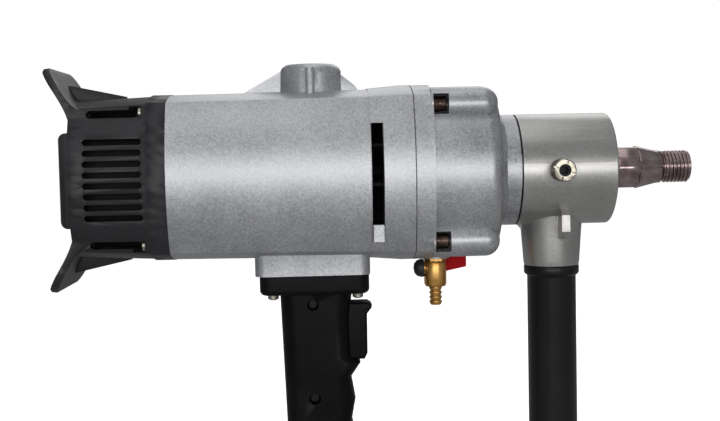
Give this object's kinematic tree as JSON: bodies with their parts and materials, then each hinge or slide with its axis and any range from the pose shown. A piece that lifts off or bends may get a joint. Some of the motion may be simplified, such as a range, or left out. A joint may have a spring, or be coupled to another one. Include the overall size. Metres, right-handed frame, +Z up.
{
  "type": "hand-held core drill",
  "caption": "Hand-held wet core drill: squarish cast motor and gear casing, flared rear stand, pistol grip, turning side handle, water valve and threaded spindle.",
  "frame": {"origin": "on the spindle axis at the root of the output thread", "axes": "+X along the spindle towards the bit, +Z up, handles towards -Z"},
  "size_m": [0.4295, 0.114, 0.2969],
  "materials": {
    "silver_paint": "metallic silver with fine flakes",
    "cast_silver": "satin metallic silver, finer flakes",
    "black_plastic": "matte moulded",
    "grip_plastic": "matte moulded, smooth",
    "fan_plastic": "moulded",
    "rubber": "satin",
    "gasket_paper": "pressed paper",
    "insulator": "phenolic",
    "carbon": "graphite",
    "nickel_steel": "nickel plated",
    "dark_steel": "dark oiled",
    "black_steel": "black oxide",
    "steel": "machined",
    "spindle_steel": "turned, browned",
    "laminations": "varnished laminations",
    "copper": "enamelled copper",
    "brass": "machined brass",
    "chrome": "polished",
    "red_plastic": "dipped vinyl"
  },
  "bodies": {
    "housing": {"armature_bearings": "steel", "brush_holders": "brass", "brush_plate": "insulator", "cable_gland": "rubber", "case_gasket": "gasket_paper", "fan_baffle": "fan_plastic", "fan_housing": "silver_paint", "field_coils": "copper", "gear_case": "silver_paint", "gear_case_bolts": "dark_steel", "grip_flange": "grip_plastic", "grip_flange_screws": "nickel_steel", "grip_shell_screws": "black_steel", "hose_barb": "brass", "layshaft_bearings": "steel", "left_grip_shell": "grip_plastic", "lower_brush_spring": "steel", "motor_housing": "silver_paint", "neck_ring": "rubber", "port_cap": "black_plastic", "rear_bearing_bracket": "black_plastic", "rear_cover": "black_plastic", "rear_cover_screws": "nickel_steel", "retainer_screws": "nickel_steel", "right_grip_shell": "grip_plastic", "seal_retainer": "steel", "shaft_seals": "rubber", "spindle_bearings": "steel", "stator_core": "laminations", "switch_body": "black_plastic", "upper_brush_spring": "steel", "valve_body": "brass", "valve_seats": "insulator", "valve_union": "brass", "water_ring": "brass", "water_tube": "copper"},
    "armature": {"armature_shaft": "steel", "armature_core": "laminations", "armature_windings": "copper", "commutator": "copper", "cooling_fan": "fan_plastic"},
    "layshaft": {"layshaft": "steel", "layshaft_gear": "steel"},
    "spindle": {"spindle": "spindle_steel", "spindle_gear": "steel", "clutch_discs": "insulator", "clutch_spring": "steel", "clutch_nut": "steel"},
    "side_handle": {"handle_collar": "cast_silver", "handle_tube": "steel", "handle_grip": "rubber", "handle_end_cap": "black_plastic"},
    "lock_ring": {"lock_ring": "nickel_steel"},
    "lock_screw": {"lock_screw": "dark_steel"},
    "trigger": {"trigger": "grip_plastic"},
    "valve_lever": {"valve_lever": "red_plastic", "valve_stem": "brass", "valve_ball": "chrome"},
    "upper_brush": {"upper_brush": "carbon"},
    "lower_brush": {"lower_brush": "carbon"}
  },
  "joints": [
    {"name": "armature_spin", "type": "hinge", "parent": "housing", "child": "armature", "pos_m": [0, 0, 0], "axis": [1, 0, 0], "continuous": true},
    {"name": "layshaft_spin", "type": "hinge", "parent": "housing", "child": "layshaft", "pos_m": [0, 0, 0.027], "axis": [1, 0, 0], "continuous": true},
    {"name": "spindle_spin", "type": "hinge", "parent": "housing", "child": "spindle", "pos_m": [0, 0, 0], "axis": [1, 0, 0], "continuous": true},
    {"name": "side_handle_turn", "type": "hinge", "parent": "housing", "child": "side_handle", "pos_m": [-0.0755, 0, 0], "axis": [1, 0, 0], "continuous": true},
    {"name": "lock_ring_lift", "type": "slide", "parent": "side_handle", "child": "lock_ring", "axis": [0, -1, 0], "range_m": [0, 0.00187]},
    {"name": "lock_screw_turn", "type": "hinge", "parent": "lock_ring", "child": "lock_screw", "pos_m": [-0.0775, -0.04, 0], "axis": [0, -1, 0], "range_deg": [0, 540]},
    {"name": "trigger_pull", "type": "slide", "parent": "housing", "child": "trigger", "axis": [-1, 0, 0], "range_m": [0, 0.006], "stiffness_N_per_m": 1200, "springref_m": -0.004},
    {"name": "valve_turn", "type": "hinge", "parent": "housing", "child": "valve_lever", "pos_m": [-0.1575, 0.0109, -0.066], "axis": [0, 1, 0], "range_deg": [0, 90]},
    {"name": "upper_brush_slide", "type": "slide", "parent": "housing", "child": "upper_brush", "axis": [0, 0, 1], "range_m": [0, 0.005], "stiffness_N_per_m": 400, "springref_m": -0.01, "deforming": ["upper_brush_spring"]},
    {"name": "lower_brush_slide", "type": "slide", "parent": "housing", "child": "lower_brush", "axis": [0, 0, -1], "range_m": [0, 0.005], "stiffness_N_per_m": 400, "springref_m": -0.01, "deforming": ["lower_brush_spring"]}
  ],
  "couplings": [
    {"joint": "layshaft_spin", "follows": "armature_spin", "ratio": -0.22727},
    {"joint": "spindle_spin", "follows": "armature_spin", "ratio": 0.1},
    {"joint": "lock_screw_turn", "follows": "lock_ring_lift", "rad_per_m": 5026.5}
  ]
}
